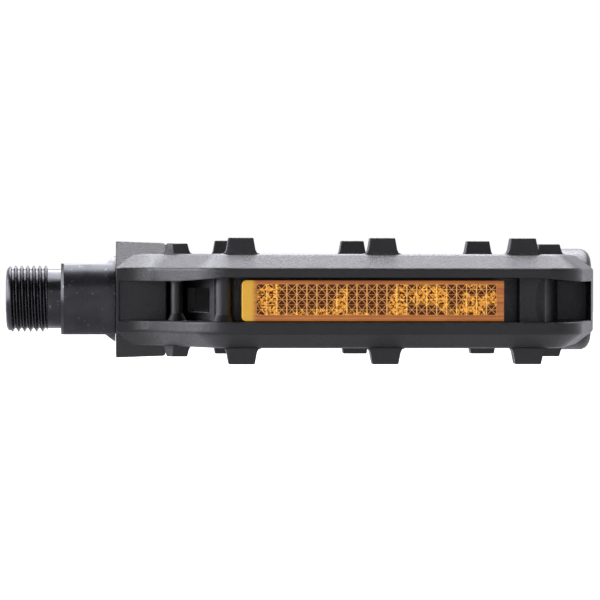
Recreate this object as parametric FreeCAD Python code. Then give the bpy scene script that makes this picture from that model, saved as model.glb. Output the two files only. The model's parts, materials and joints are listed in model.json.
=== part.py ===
"""Flat pedal, right-hand, as an assembly of separate pieces.

Millimetres. The origin is on the spindle's axis, at the shoulder that meets the crank.
+X runs outboard along the spindle, +Z is up, and the platform's two faces look up and down.
"""
import FreeCAD, Part

import math
import os

V = FreeCAD.Vector
X_AXIS = V(1, 0, 0)
Z_AXIS = V(0, 0, 1)

# ---------------------------------------------------------------- platform: driving sizes
BODY_START = 11.6          # inboard face of the boss
BODY_LENGTH = 100.7        # boss face to the outboard end of the rim
BODY_DEPTH = 83.0          # over the front and rear rims
DECK_Z = 9.5               # flat top and bottom of the platform, above and below the axis
RIM_Z = 6.5                # where the rim's sloped face meets its upright lip
RIM_SLOPE_RUN = 4.0        # how far the slope leans in from the lip to the deck
RIM_EDGE_R = 0.7
DECK_BEVEL = 0.35          # softens the deck's outer edge
NECK_Y = 17.65             # half width of the rim where it leaves the boss
NECK_LENGTH = 5.4
FLARE_RUN = 13.0           # inboard flare, along the spindle
FLARE_INNER_R = 7.5
FLARE_OUTER_R = 9.0
TAIL_RUN = 8.0             # outboard taper, along the spindle
TAIL_Y = 12.0
TAIL_CORNER_R = 8.0
TAIL_END_R = 20.0

# ---------------------------------------------------------------- platform: openings and channel
RAIL_WIDTH = 10.5          # rim's lip to the window
CHANNEL_FLOOR_Z = -4.2     # channel along the rear rim: its lower side
CHANNEL_END_Z = (3.9, 4.0)  # its upper side at the boss and at the tail
CHANNEL_TOP_Z = 4.75       # its upper side over the reflector
CHANNEL_RISE = (12.4, 21.4)  # where the upper side rises, from the boss's face
CHANNEL_FALL = (17.0, 7.0)  # where it falls, from the outboard end
CHANNEL_DEPTH = 7.5
CHANNEL_END_WALLS = (0.6, 1.7)  # rim left at the boss and at the tail
CHANNEL_MOUTH_R = 0.35     # rounded lower edge of the channel's mouth
CORE_Y = 12.3              # the channel never cuts nearer the spindle than this
BARREL_WALL = 2.4          # tube round the spindle, between the windows
BARREL_INSET = 2.0         # barrel's ends, inside the platform's ends
CROSS_RIB_PLACE = 0.531    # rib and middle teeth, as a share of the body's length
CROSS_RIB_WIDTH = 7.0
BOSS_DECK = 16.4           # deck left from the boss's face to the inboard windows
TAIL_DECK = 14.0           # deck left beyond the outboard windows
WINDOW_CORNER_R = 2.5
WINDOW_EDGE_R = 0.5
DRAIN_REACH = (14.8, 18.9)  # small slot through the inboard web, from the boss's face
DRAIN_HALF_Z = 2.5

# ---------------------------------------------------------------- platform: bosses and teeth
BOSS_LENGTH = 10.3
BOSS_TOP_Z = 12.15
BOSS_TOP_DROP = 0.35       # the boss's top falls this much along its length
BOSS_FLAT_Y = 11.5
BOSS_EDGE_R = 0.7
TAIL_BOSS_R = 10.85
TAIL_BOSS_LENGTH = 17.0
TAIL_BOSS_PROUD = 0.8      # round boss, beyond the rim's end
TAIL_BOSS_BEND_R = 50.0    # its end face, bent in plan to follow the rim
TAIL_BOSS_EDGE_R = 2.0
TAIL_BOSS_ROOT_R = 1.2
TOOTH_BASE = 6.0
TOOTH_TIP = 4.95
TOOTH_HEIGHT = 3.25
TOOTH_DEPTH = 4.4
TOOTH_DEPTH_TIP = 3.6
TOOTH_ROOT_R = 0.8         # bevelled foot round each tooth and the inboard boss
TOOTH_ROOT_KNEE = 0.25     # the foot's knee, as a share of its size
TOOTH_ROOT_LEAN = 0.1
TOOTH_TIP_R = 0.25
TOOTH_SETBACK = 0.3        # tooth's outer foot to the edge of the deck
TOOTH_PITCH_SHARE = 0.284  # tall teeth along a rail, as a share of the body's length
LOWER_TOOTH_BASE = 6.3     # tall teeth of the lower face are a little wider and farther apart
LOWER_TOOTH_TIP = 5.2
LOWER_TOOTH_PITCH_SHARE = 0.288
LOWER_TOOTH_SHIFT = 0.6
SHORT_TOOTH_BASE = 5.1
SHORT_TOOTH_TIP = 4.2
SHORT_TOOTH_HEIGHT = 2.2
SHORT_TOOTH_Y = 18.0
SHORT_TOOTH_INSETS = (12.5, 10.7)  # from the boss's face and from the outboard end

# ---------------------------------------------------------------- spindle
THREAD_R = 7.14375         # 9/16 in crank thread
THREAD_LENGTH = 8.7
THREAD_CHAMFER = 0.9
RELIEF_R = 6.3
RELIEF_LENGTH = 2.9
COLLAR_R = 9.2
COLLAR_GAP = 0.15          # collar to the boss's face
COLLAR_CHAMFER = 0.6
WRENCH_FLATS = 15.0
FLATS_RUNOUT = 2.1
SHAFT_R = 6.2
SHAFT_WAIST_R = 5.0
SHAFT_TAPER_END = 34.0
STUD_R = 4.0               # threaded outboard end
STUD_RUN = 2.0             # stud's start, inboard of the cone
STUD_PROUD = 0.9           # stud's end, beyond the lock nut
STUD_CHAMFER = 0.5
KEYWAY_WIDTH = 1.6
KEYWAY_DEPTH = 0.8
KEYWAY_LEAD = 2.0          # keyway's start, inboard of the washer

# ---------------------------------------------------------------- bearings
BALL_R = 3.175 / 2
BALL_PLAY = 0.0625         # ball to its race
INBOARD_BALL_REACH = 3.6   # balls' centres from the boss's face
INBOARD_BALLS = 12
INBOARD_PITCH_RISE = 1.4   # pitch circle above the shaft
INBOARD_CUP_RISE = 2.4     # cup's outside above the pitch circle
OUTBOARD_BALL_REACH = 17.4  # balls' centres from the platform's outboard end
OUTBOARD_BALLS = 10
OUTBOARD_PITCH_RISE = 2.3  # pitch circle above the stud
OUTBOARD_CUP_RISE = 2.2
RACE_LAND = 0.2            # cone's land, below the pitch circle
CUP_BACK = 0.85            # metal behind the race
CUP_MOUTH = 1.8            # the cup's open end, from the balls' centres
CUP_LIP = 0.05             # cup's mouth, inside the race's widest ring
NECK_GAP = 0.9             # cup's neck and the barrel's bore to the shaft
CAGE_GAP = 0.4             # cage to the cone below it
CAGE_OFFSET = 0.3          # cage's near side, from the balls' centres
CAGE_WIDTH = 1.4
CAGE_WALL = 0.95
CONE_LENGTH = 5.4
CONE_COLLAR = 3.0          # round part of the cone, before its hexagon
CONE_NOSE = 1.1
CONE_NOSE_LAND = 0.55      # nose above the bottom of the race
HEX_WALL = 3.0             # hexagon across flats, over the stud's diameter
HEX_TURNED = 0.975         # hexagon's corners turned to this share of their radius
WASHER_T = 1.0
NUT_T = 4.0
TONGUE_GAP = 0.05          # washer's tongue in the keyway
TONGUE_ROOT = 0.5
STACK_GAP = 0.03
FIT_GAP = 0.02             # press and thread fits
RUN_GAP = 0.09             # running fit of the seal on its seat
SEAL_T = 1.2
SEAL_INSET = 0.15

# ---------------------------------------------------------------- end cap
CAP_RECESS = 1.2           # cap's face, inside the boss's end
CAP_T = 2.2
CAP_SKIRT = 2.4
CAP_WALL = 1.1
CAP_EDGE_R = 0.8
CAP_SLOT = (9.0, 1.4, 0.8)  # coin slot: length, width, depth

# ---------------------------------------------------------------- reflectors
LENS_INSETS = (24.9, 23.1)  # lens's ends, from the boss's face and from the outboard end
LENS_LIFT = 0.2            # lens above the channel's lower side
LENS_TOP_GAP = 0.55        # lens below its upper side
LENS_SETBACK = 0.9         # lens face behind the rim's lip
LENS_T = 1.6
LENS_RIM = 0.9
LENS_RIM_DEPTH = 1.4
LENS_CORNER_R = 0.9
TRAY_FIT = 0.05
TRAY_WALL = 1.0
TRAY_FRONT_GAP = 0.4       # tray's front edge to the back of the lens
TRAY_EDGE = 0.4            # tray's flange, inside the lens's ends
TRAY_LEVEL_EDGE = 0.3      # and inside its upper and lower edges
PEG_ROOT = 0.1             # stud's root, sunk in the tray
STUD_PEG_R = 1.4
STUD_HEAD_R = 1.9
STUD_HEAD_T = 0.9
STUD_HEAD_TAPER = 0.3
STUD_INSET = 8.5           # snap studs, from each end of the lens
HOLE_GAP = 0.06

# ---------------------------------------------------------------- posts in the channel
POST_LIP = 3.6             # a post's nose, behind the rim's lip
POST_REACH = 8.5           # a post's length back from its nose
POST_SKIN = 1.0            # posts stay this far inside the rim's lip
POST_FOOT = (0.8, 1.5)     # flared foot of a rounded post: width and height
NECK_POST = (12.4, 1.2, 0.578)   # from the boss's face, radius, nose as a share of the rim's half depth
SLIM_POST = (21.5, 1.7)          # from the boss's face, radius
BROAD_POST = (19.6, 15.0)        # both sides, from the outboard end
BROAD_POST_HOLLOW_R = 10.0
BROAD_POST_WAIST = 16.3          # hollow's nearest point, from the outboard end

# ---------------------------------------------------------------- sizes that follow from the ones above
BODY_END = BODY_START + BODY_LENGTH
RIM_Y = BODY_DEPTH / 2
CROSS_RIB_X = BODY_START + CROSS_RIB_PLACE * BODY_LENGTH
TAIL_FACE = BODY_END + TAIL_BOSS_PROUD
CAP_FACE = TAIL_FACE - CAP_RECESS
RACE_R = BALL_R + BALL_PLAY
INBOARD_BALL_X = BODY_START + INBOARD_BALL_REACH
INBOARD_PITCH_R = SHAFT_R + INBOARD_PITCH_RISE
SEAL_SEAT_R = INBOARD_PITCH_R - RACE_LAND
INBOARD_CUP_R = INBOARD_PITCH_R + INBOARD_CUP_RISE
OUTBOARD_BALL_X = BODY_END - OUTBOARD_BALL_REACH
OUTBOARD_PITCH_R = STUD_R + OUTBOARD_PITCH_RISE
OUTBOARD_CUP_R = OUTBOARD_PITCH_R + OUTBOARD_CUP_RISE
HEX_ACROSS = 2 * STUD_R + HEX_WALL
BORE_R = SHAFT_R + NECK_GAP
BARREL_R = BORE_R + BARREL_WALL
LENS_START = BODY_START + LENS_INSETS[0]
LENS_END = BODY_END - LENS_INSETS[1]
LENS_LOW = CHANNEL_FLOOR_Z + LENS_LIFT
LENS_HIGH = CHANNEL_TOP_Z - LENS_TOP_GAP
LENS_MIDDLE = (LENS_LOW + LENS_HIGH) / 2
BIG = 60.0                 # longer than any piece, for cutting through
OVERCUT = 1.0
NEAR = 1e-4                # two places closer than this are the same place
BEND_NEAR = 1e-3           # the same, on the outboard boss's bent face


def box(low, high):
    """Box between two corners."""
    return Part.makeBox(high[0] - low[0], high[1] - low[1], high[2] - low[2], V(*low))


def tube(r_outer, r_inner, start, end):
    """Ring about the spindle's axis."""
    outer = Part.makeCylinder(r_outer, end - start, V(start, 0, 0), X_AXIS)
    return outer.cut(Part.makeCylinder(r_inner, end - start, V(start, 0, 0), X_AXIS))


def turned(profile):
    """Solid of revolution about the spindle's axis from (x, radius) corners."""
    corners = [V(x, 0, r) for x, r in profile]
    face = Part.Face(Part.makePolygon(corners + corners[:1]))
    return face.revolve(V(0, 0, 0), X_AXIS, 360)


def race(ball_x, pitch_r):
    """Ring of space that the balls roll in."""
    return Part.makeTorus(pitch_r, RACE_R, V(ball_x, 0, 0), X_AXIS)


def hexagon(across, start, end):
    """Hexagonal bar along the spindle's axis, its corners turned off."""
    corner_r = across / math.sqrt(3)
    turns = [2 * math.pi * i / 6 for i in range(7)]
    corners = [V(start, corner_r * math.cos(a), corner_r * math.sin(a)) for a in turns]
    bar = Part.Face(Part.makePolygon(corners)).extrude(V(end - start, 0, 0))
    return bar.common(Part.makeCylinder(corner_r * HEX_TURNED, end - start, V(start, 0, 0), X_AXIS))


def inset_ring(ring, inset):
    """Corners and radii of a closed outline, run anticlockwise, after moving it inward."""
    moved = []
    count = len(ring)
    for i, (x, y, radius) in enumerate(ring):
        corner = V(x, y, 0)
        along_in = (corner - V(ring[i - 1][0], ring[i - 1][1], 0)).normalize()
        along_out = (V(ring[(i + 1) % count][0], ring[(i + 1) % count][1], 0) - corner).normalize()
        inward_in = Z_AXIS.cross(along_in)
        inward_out = Z_AXIS.cross(along_out)
        middle = inward_in + inward_out
        shift = middle * (inset / middle.dot(inward_in))
        convex = along_in.cross(along_out).z > 0
        new_radius = radius - inset if convex else radius + inset
        moved.append((x + shift.x, y + shift.y, max(new_radius, 0.0) if radius > 0 else 0.0))
    return moved


def rounded_path(ring, z):
    """Closed wire at height z through corners (x, y, radius)."""
    count = len(ring)
    stops = []
    for i, (x, y, radius) in enumerate(ring):
        corner = V(x, y, z)
        before = (V(ring[i - 1][0], ring[i - 1][1], z) - corner).normalize()
        after = (V(ring[(i + 1) % count][0], ring[(i + 1) % count][1], z) - corner).normalize()
        half = before.getAngle(after) / 2
        reach = radius / math.tan(half)
        middle = corner + (before + after).normalize() * (radius / math.sin(half) - radius)
        stops.append((corner + before * reach, middle, corner + after * reach, radius))
    edges = []
    for i, (first, middle, last, radius) in enumerate(stops):
        if radius > 0:
            edges.append(Part.Arc(first, middle, last).toShape())
        edges.append(Part.makeLine(last, stops[(i + 1) % count][0]))
    return Part.Wire(edges)


def rim_wire(inset, z):
    """Plan outline of the platform, inset from the rim's lip, at height z."""
    flare_start = BODY_START + NECK_LENGTH
    front = [(BODY_END, TAIL_Y, TAIL_END_R),
             (BODY_END - TAIL_RUN, RIM_Y, TAIL_CORNER_R),
             (flare_start + FLARE_RUN, RIM_Y, FLARE_OUTER_R),
             (flare_start, NECK_Y, FLARE_INNER_R),
             (BODY_START, NECK_Y, 0.0)]
    rear = [(x, -y, r) for x, y, r in reversed(front)]
    return rounded_path(inset_ring(front + rear, inset), z)


def prism(wire, z_low, z_high):
    """Solid over a flat wire between two heights."""
    face = Part.Face(wire)
    face.translate(V(0, 0, z_low - face.BoundBox.ZMin))
    return face.extrude(V(0, 0, z_high - z_low))


def edges_at_height(shape, height):
    """Edges that lie level at plus or minus a height."""
    return [e for e in shape.Edges
            if abs(abs(e.BoundBox.ZMin) - height) < NEAR and e.BoundBox.ZLength < NEAR]


def upright_edges(shape):
    """Straight edges that run parallel to Z."""
    return [e for e in shape.Edges if e.BoundBox.XLength < NEAR and e.BoundBox.YLength < NEAR]


def platform_blank():
    """Slab with the rim's lip and slopes."""
    bevel_drop = DECK_BEVEL * (DECK_Z - RIM_Z) / RIM_SLOPE_RUN
    upper = [(0, RIM_Z), (RIM_SLOPE_RUN - DECK_BEVEL, DECK_Z - bevel_drop),
             (RIM_SLOPE_RUN + DECK_BEVEL, DECK_Z)]
    lower = [(inset, -z) for inset, z in reversed(upper)]
    blank = Part.makeLoft([rim_wire(inset, z) for inset, z in lower + upper], True, True)
    lips = [e for e in edges_at_height(blank, RIM_Z) if e.BoundBox.XMax > BODY_START + OVERCUT]
    return blank.makeFillet(RIM_EDGE_R, lips)


def windows():
    """Through windows on both sides of the cross rib; the barrel later runs across them."""
    area = prism(rim_wire(RAIL_WIDTH, 0), -BIG, BIG)
    area = area.common(box((BODY_START + BOSS_DECK, -BIG, -BIG), (BODY_END - TAIL_DECK, BIG, BIG)))
    rib_half = CROSS_RIB_WIDTH / 2
    area = area.cut(box((CROSS_RIB_X - rib_half, -BIG, -BIG), (CROSS_RIB_X + rib_half, BIG, BIG)))
    holes = [hole.makeFillet(WINDOW_CORNER_R, upright_edges(hole)) for hole in area.Solids]
    return Part.makeCompound(holes)


def turned_front(shape):
    """Same shape turned half a turn about the spindle, from the rear rim to the front one."""
    copy = shape.copy()
    copy.rotate(V(0, 0, 0), X_AXIS, 180)
    return copy


def channel():
    """Space of the channel along the rear rim, higher over the reflector than at its ends."""
    start = BODY_START + CHANNEL_END_WALLS[0]
    end = BODY_END - CHANNEL_END_WALLS[1]
    at_boss, at_tail = CHANNEL_END_Z
    sides = [(start, CHANNEL_FLOOR_Z), (end, CHANNEL_FLOOR_Z), (end, at_tail),
             (BODY_END - CHANNEL_FALL[1], at_tail), (BODY_END - CHANNEL_FALL[0], CHANNEL_TOP_Z),
             (BODY_START + CHANNEL_RISE[1], CHANNEL_TOP_Z), (BODY_START + CHANNEL_RISE[0], at_boss),
             (start, at_boss)]
    corners = [V(x, -BIG, z) for x, z in sides]
    height = Part.Face(Part.makePolygon(corners + corners[:1])).extrude(V(0, BIG - CORE_Y, 0))
    floor = prism(rim_wire(CHANNEL_DEPTH, 0), -DECK_Z, DECK_Z)
    return height.cut(floor)


def mouth_edges(body):
    """Lower edges of both channels where they meet the rim's lip."""
    lip = rim_wire(0, CHANNEL_FLOOR_Z)
    found = []
    for edge in edges_at_height(body, abs(CHANNEL_FLOOR_Z)):
        middle = Part.Vertex(edge.valueAt((edge.FirstParameter + edge.LastParameter) / 2))
        if min(wire.distToShape(middle)[0] for wire in (lip, turned_front(lip))) < NEAR:
            found.append(edge)
    return found


def post(x, radius, nose_y):
    """Upright rounded post at the rear rim, joined back to the channel's floor."""
    web = box((x - radius, nose_y + radius, -RIM_Z), (x + radius, nose_y + POST_REACH, RIM_Z))
    nose = Part.makeCylinder(radius, 2 * RIM_Z, V(x, nose_y + radius, -RIM_Z), Z_AXIS)
    width, height = POST_FOOT
    foot = Part.makeCone(radius + width, radius, height, V(x, nose_y + radius, CHANNEL_FLOOR_Z), Z_AXIS)
    return web.fuse([nose, foot])


def channel_posts():
    """Two rounded posts and a broad one that join the upper and lower flanges of the rear rim."""
    lip_y = -(RIM_Y - POST_LIP)
    neck = post(BODY_START + NECK_POST[0], NECK_POST[1], -NECK_POST[2] * RIM_Y)
    slim = post(BODY_START + SLIM_POST[0], SLIM_POST[1], lip_y)
    broad = box((BODY_END - BROAD_POST[0], lip_y, -RIM_Z),
                (BODY_END - BROAD_POST[1], lip_y + POST_REACH, RIM_Z))
    hollow_x = BODY_END - BROAD_POST_WAIST + BROAD_POST_HOLLOW_R
    hollow = Part.makeCylinder(BROAD_POST_HOLLOW_R, BIG, V(hollow_x, lip_y - OVERCUT, 0), V(0, 1, 0))
    return [neck, slim, broad.cut(hollow)]


def tooth(x, y, sizes, side):
    """Moulded tooth of (base, tip, height) on the deck; side is +1 for top and -1 for bottom."""
    half_base, half_tip, height = sizes[0] / 2, sizes[1] / 2, sizes[2]
    root = TOOTH_ROOT_R
    knee = TOOTH_ROOT_KNEE * root
    right = [V(half_base + root, 0, -OVERCUT), V(half_base + root, 0, 0), V(half_base + knee, 0, knee),
             V(half_base - TOOTH_ROOT_LEAN, 0, root), V(half_tip, 0, height)]
    across = right + [V(-v.x, 0, v.z) for v in reversed(right)]
    front = Part.Face(Part.makePolygon(across + across[:1])).extrude(V(0, BIG, 0))
    front.translate(V(0, -BIG / 2, 0))
    half_d = TOOTH_DEPTH / 2
    half_dt = TOOTH_DEPTH_TIP / 2
    along = [V(0, -half_d, -OVERCUT), V(0, half_d, -OVERCUT), V(0, half_d, 0),
             V(0, half_dt, height), V(0, -half_dt, height), V(0, -half_d, 0)]
    flank = Part.Face(Part.makePolygon(along + along[:1])).extrude(V(BIG, 0, 0))
    flank.translate(V(-BIG / 2, 0, 0))
    shape = front.common(flank)
    tip = [e for e in shape.Edges if e.BoundBox.ZMin > height - NEAR]
    shape = shape.makeFillet(TOOTH_TIP_R, tip)
    if side < 0:
        shape.rotate(V(0, 0, 0), X_AXIS, 180)
    shape.translate(V(x, y, side * DECK_Z))
    return shape


def teeth():
    """Three tall teeth on each rail and a short one near each end of the barrel, both faces."""
    rail_y = RIM_Y - RIM_SLOPE_RUN - TOOTH_SETBACK - TOOTH_DEPTH / 2
    short = (SHORT_TOOTH_BASE, SHORT_TOOTH_TIP, SHORT_TOOTH_HEIGHT)
    faces = [(1, (TOOTH_BASE, TOOTH_TIP, TOOTH_HEIGHT), CROSS_RIB_X, TOOTH_PITCH_SHARE * BODY_LENGTH),
             (-1, (LOWER_TOOTH_BASE, LOWER_TOOTH_TIP, TOOTH_HEIGHT), CROSS_RIB_X + LOWER_TOOTH_SHIFT,
              LOWER_TOOTH_PITCH_SHARE * BODY_LENGTH)]
    deck = prism(rim_wire(RIM_SLOPE_RUN + DECK_BEVEL, 0), -BIG, BIG)
    shapes = []
    for side, tall, middle, pitch in faces:
        for row in (1, -1):
            for step in (-1, 0, 1):
                shapes.append(tooth(middle + step * pitch, row * rail_y, tall, side))
            for x in (BODY_START + SHORT_TOOTH_INSETS[0], BODY_END - SHORT_TOOTH_INSETS[1]):
                shapes.append(tooth(x, row * SHORT_TOOTH_Y, short, side))
    return [shape.common(deck) for shape in shapes]


def boss_block():
    """Inboard boss: flat top and bottom with sloped shoulders, falling slightly outboard."""
    slope = BOSS_TOP_Z - RIM_Z
    near = [(BOSS_FLAT_Y, BOSS_TOP_Z), (BOSS_FLAT_Y + slope, RIM_Z)]
    far_top = BOSS_TOP_Z - BOSS_TOP_DROP
    far = [(BOSS_FLAT_Y, far_top), (BOSS_FLAT_Y + far_top - RIM_Z, RIM_Z)]
    wires = []
    for x, pair in ((BODY_START, near), (BODY_START + BOSS_LENGTH, far)):
        (flat_y, top_z), (side_y, side_z) = pair
        corners = [V(x, -flat_y, top_z), V(x, flat_y, top_z), V(x, side_y, side_z), V(x, side_y, -side_z),
                   V(x, flat_y, -top_z), V(x, -flat_y, -top_z), V(x, -side_y, -side_z), V(x, -side_y, side_z)]
        wires.append(Part.makePolygon(corners + corners[:1]))
    block = Part.makeLoft(wires, True, True)
    far_face = [e for e in block.Edges if e.BoundBox.XMin > BODY_START + BOSS_LENGTH - NEAR
                and e.BoundBox.ZLength < NEAR and e.BoundBox.YLength > 2 * BOSS_FLAT_Y - OVERCUT]
    return block.makeFillet(BOSS_EDGE_R, far_face)


def boss_foot():
    """Bevelled foot where the inboard boss meets the deck, top and bottom."""
    end = BODY_START + BOSS_LENGTH
    root = TOOTH_ROOT_R
    knee = TOOTH_ROOT_KNEE * root
    side = [V(end - root, 0, 0), V(end + root, 0, 0), V(end + root, 0, DECK_Z),
            V(end + knee, 0, DECK_Z + knee), V(end, 0, DECK_Z + root), V(end - root, 0, DECK_Z + root)]
    foot = Part.Face(Part.makePolygon(side + side[:1])).extrude(V(0, 2 * BOSS_FLAT_Y, 0))
    foot.translate(V(0, -BOSS_FLAT_Y, 0))
    return [foot, turned_front(foot)]


def tail_boss():
    """Round outboard boss; its end is bent in plan and its corners are rounded."""
    start = TAIL_FACE - TAIL_BOSS_LENGTH
    boss = Part.makeCylinder(TAIL_BOSS_R, TAIL_BOSS_LENGTH, V(start, 0, 0), X_AXIS)
    bend_at = V(TAIL_FACE - TAIL_BOSS_BEND_R, 0, -BIG / 2)
    boss = boss.common(Part.makeCylinder(TAIL_BOSS_BEND_R, BIG, bend_at, Z_AXIS))
    root = [e for e in boss.Edges if e.BoundBox.XMax < start + NEAR]
    boss = boss.makeFillet(TAIL_BOSS_ROOT_R, root)
    rim = [e for e in boss.Edges
           if e.BoundBox.XMax > TAIL_FACE - BEND_NEAR and e.BoundBox.YLength > TAIL_BOSS_R]
    return boss.makeFillet(TAIL_BOSS_EDGE_R, rim)


def barrel():
    """Tube round the spindle, from boss to boss."""
    length = BODY_LENGTH - 2 * BARREL_INSET
    return Part.makeCylinder(BARREL_R, length, V(BODY_START + BARREL_INSET, 0, 0), X_AXIS)


def bearing_bore():
    """Through bore with a counterbore for each cup; the outboard one runs out to the end cap."""
    cup_back_in = INBOARD_BALL_X + RACE_R + CUP_BACK
    cup_back_out = OUTBOARD_BALL_X - RACE_R - CUP_BACK
    bore = Part.makeCylinder(BORE_R, BODY_LENGTH, V(BODY_START, 0, 0), X_AXIS)
    mouth_length = cup_back_in - BODY_START
    tail_length = TAIL_FACE - cup_back_out
    mouth = Part.makeCylinder(INBOARD_CUP_R + FIT_GAP, mouth_length, V(BODY_START, 0, 0), X_AXIS)
    tail = Part.makeCylinder(OUTBOARD_CUP_R + FIT_GAP, tail_length, V(cup_back_out, 0, 0), X_AXIS)
    return bore.fuse([mouth, tail])


def stud_places():
    """Where the reflector's snap studs pass through the web."""
    return (LENS_START + STUD_INSET, LENS_END - STUD_INSET)


def stud_holes():
    """Holes in the rear web for the reflector's snap studs."""
    start = CHANNEL_DEPTH - RIM_Y - OVERCUT
    length = RAIL_WIDTH - CHANNEL_DEPTH + 2 * OVERCUT
    return [Part.makeCylinder(STUD_PEG_R + HOLE_GAP, length, V(x, start, LENS_MIDDLE), V(0, 1, 0))
            for x in stud_places()]


def drain_slot():
    """Small slot through the rear inboard web."""
    start, end = (BODY_START + reach for reach in DRAIN_REACH)
    return box((start, -RIM_Y, -DRAIN_HALF_Z), (end, -CORE_Y, DRAIN_HALF_Z))


def both_rims(shapes):
    """Rear rim's shapes with their turned copies for the front rim."""
    return shapes + [turned_front(shape) for shape in shapes]


def pedal_body():
    """One-piece moulded platform."""
    holes = windows()
    body = platform_blank().cut(holes)
    window_rims = [e for e in edges_at_height(body, DECK_Z)
                   if abs(e.BoundBox.Center.y) < RIM_Y - RAIL_WIDTH + OVERCUT
                   and e.BoundBox.Center.x > BODY_START + BOSS_DECK - OVERCUT
                   and e.BoundBox.Center.x < BODY_END - TAIL_DECK + OVERCUT]
    body = body.makeFillet(WINDOW_EDGE_R, window_rims)
    body = body.cut(both_rims([channel()]))
    body = body.makeFillet(CHANNEL_MOUTH_R, mouth_edges(body))
    inside = prism(rim_wire(POST_SKIN, 0), -DECK_Z, DECK_Z).cut(holes)
    posts = both_rims([p.common(inside) for p in channel_posts()])
    body = body.fuse(posts + [barrel(), boss_block(), tail_boss()] + boss_foot() + teeth())
    body = body.cut([bearing_bore()] + both_rims(stud_holes() + [drain_slot()]))
    return body.removeSplitter()


def spindle():
    """Forged axle: crank thread, relief, collar with wrench flats, ball race, shaft and threaded stud."""
    thread_start = -RELIEF_LENGTH - THREAD_LENGTH
    collar_end = BODY_START - COLLAR_GAP
    end = stud_end()
    stud_start = OUTBOARD_BALL_X - CONE_NOSE - STUD_RUN
    axle = turned([(thread_start, 0), (thread_start, THREAD_R - THREAD_CHAMFER),
                   (thread_start + THREAD_CHAMFER, THREAD_R), (-RELIEF_LENGTH, THREAD_R),
                   (-RELIEF_LENGTH, RELIEF_R), (0, RELIEF_R), (0, COLLAR_R - COLLAR_CHAMFER),
                   (COLLAR_CHAMFER, COLLAR_R), (collar_end, COLLAR_R), (collar_end, SEAL_SEAT_R),
                   (INBOARD_BALL_X, SEAL_SEAT_R), (INBOARD_BALL_X, SHAFT_R),
                   (INBOARD_BALL_X + RACE_R + CUP_BACK, SHAFT_R), (SHAFT_TAPER_END, SHAFT_WAIST_R),
                   (stud_start, SHAFT_WAIST_R), (stud_start, STUD_R), (end - STUD_CHAMFER, STUD_R),
                   (end, STUD_R - STUD_CHAMFER), (end, 0)])
    axle = axle.cut(race(INBOARD_BALL_X, INBOARD_PITCH_R))
    flat = WRENCH_FLATS / 2
    for side in (1, -1):
        outline = [V(0, -BIG / 2, side * flat), V(collar_end - FLATS_RUNOUT, -BIG / 2, side * flat),
                   V(collar_end, -BIG / 2, side * COLLAR_R), V(collar_end, -BIG / 2, side * 2 * COLLAR_R),
                   V(0, -BIG / 2, side * 2 * COLLAR_R)]
        axle = axle.cut(Part.Face(Part.makePolygon(outline + outline[:1])).extrude(V(0, BIG, 0)))
    keyway = box((cone_end() - KEYWAY_LEAD, -KEYWAY_WIDTH / 2, STUD_R - KEYWAY_DEPTH),
                 (end + OVERCUT, KEYWAY_WIDTH / 2, STUD_R + OVERCUT))
    return axle.cut(keyway)


def cone_end():
    """Outboard face of the cone."""
    return OUTBOARD_BALL_X + CONE_LENGTH


def stud_end():
    """Outboard end of the spindle, a little beyond the lock nut."""
    return cone_end() + WASHER_T + NUT_T + 2 * STACK_GAP + STUD_PROUD


def outboard_cone():
    """Threaded cone that sets the bearings' play, with a hexagon to turn it by."""
    x = OUTBOARD_BALL_X
    collar = tube(OUTBOARD_PITCH_R - RACE_LAND, STUD_R + FIT_GAP, x, x + CONE_COLLAR)
    nose = tube(OUTBOARD_PITCH_R - RACE_R + CONE_NOSE_LAND, STUD_R + FIT_GAP, x - CONE_NOSE, x)
    grip = hexagon(HEX_ACROSS, x + CONE_COLLAR, cone_end())
    grip = grip.cut(Part.makeCylinder(STUD_R + FIT_GAP, CONE_LENGTH, V(x, 0, 0), X_AXIS))
    return collar.fuse([nose, grip]).cut(race(x, OUTBOARD_PITCH_R)).removeSplitter()


def key_washer():
    """Washer with a tongue that rides in the stud's keyway."""
    start = cone_end() + STACK_GAP
    ring = tube(HEX_ACROSS / 2, STUD_R + FIT_GAP, start, start + WASHER_T)
    half = KEYWAY_WIDTH / 2 - TONGUE_GAP
    tongue = box((start, -half, STUD_R - KEYWAY_DEPTH + TONGUE_GAP),
                 (start + WASHER_T, half, STUD_R + TONGUE_ROOT))
    return ring.fuse(tongue).removeSplitter()


def lock_nut():
    """Hexagon nut that locks the cone."""
    start = cone_end() + WASHER_T + 2 * STACK_GAP
    nut = hexagon(HEX_ACROSS, start, start + NUT_T)
    return nut.cut(Part.makeCylinder(STUD_R + FIT_GAP, NUT_T, V(start, 0, 0), X_AXIS))


def cup(ball_x, pitch_r, cup_r, neck_r, facing):
    """Pressed bearing cup; facing is the direction along X in which its mouth opens."""
    back = ball_x - facing * (RACE_R + CUP_BACK)
    mouth = ball_x + facing * CUP_MOUTH
    wall_r = pitch_r + RACE_R
    shell = turned([(back, neck_r), (ball_x, neck_r), (ball_x, wall_r - CUP_LIP), (mouth, wall_r - CUP_LIP),
                    (mouth, cup_r), (back, cup_r)])
    return shell.cut(race(ball_x, pitch_r))


def ball_places(ball_x, pitch_r, count):
    """Centres of the balls of one bearing."""
    turns = [2 * math.pi * i / count for i in range(count)]
    return [V(ball_x, pitch_r * math.cos(a), pitch_r * math.sin(a)) for a in turns]


def balls(ball_x, pitch_r, count):
    """One row of separate balls."""
    return Part.makeCompound([Part.makeSphere(BALL_R, c) for c in ball_places(ball_x, pitch_r, count)])


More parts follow.
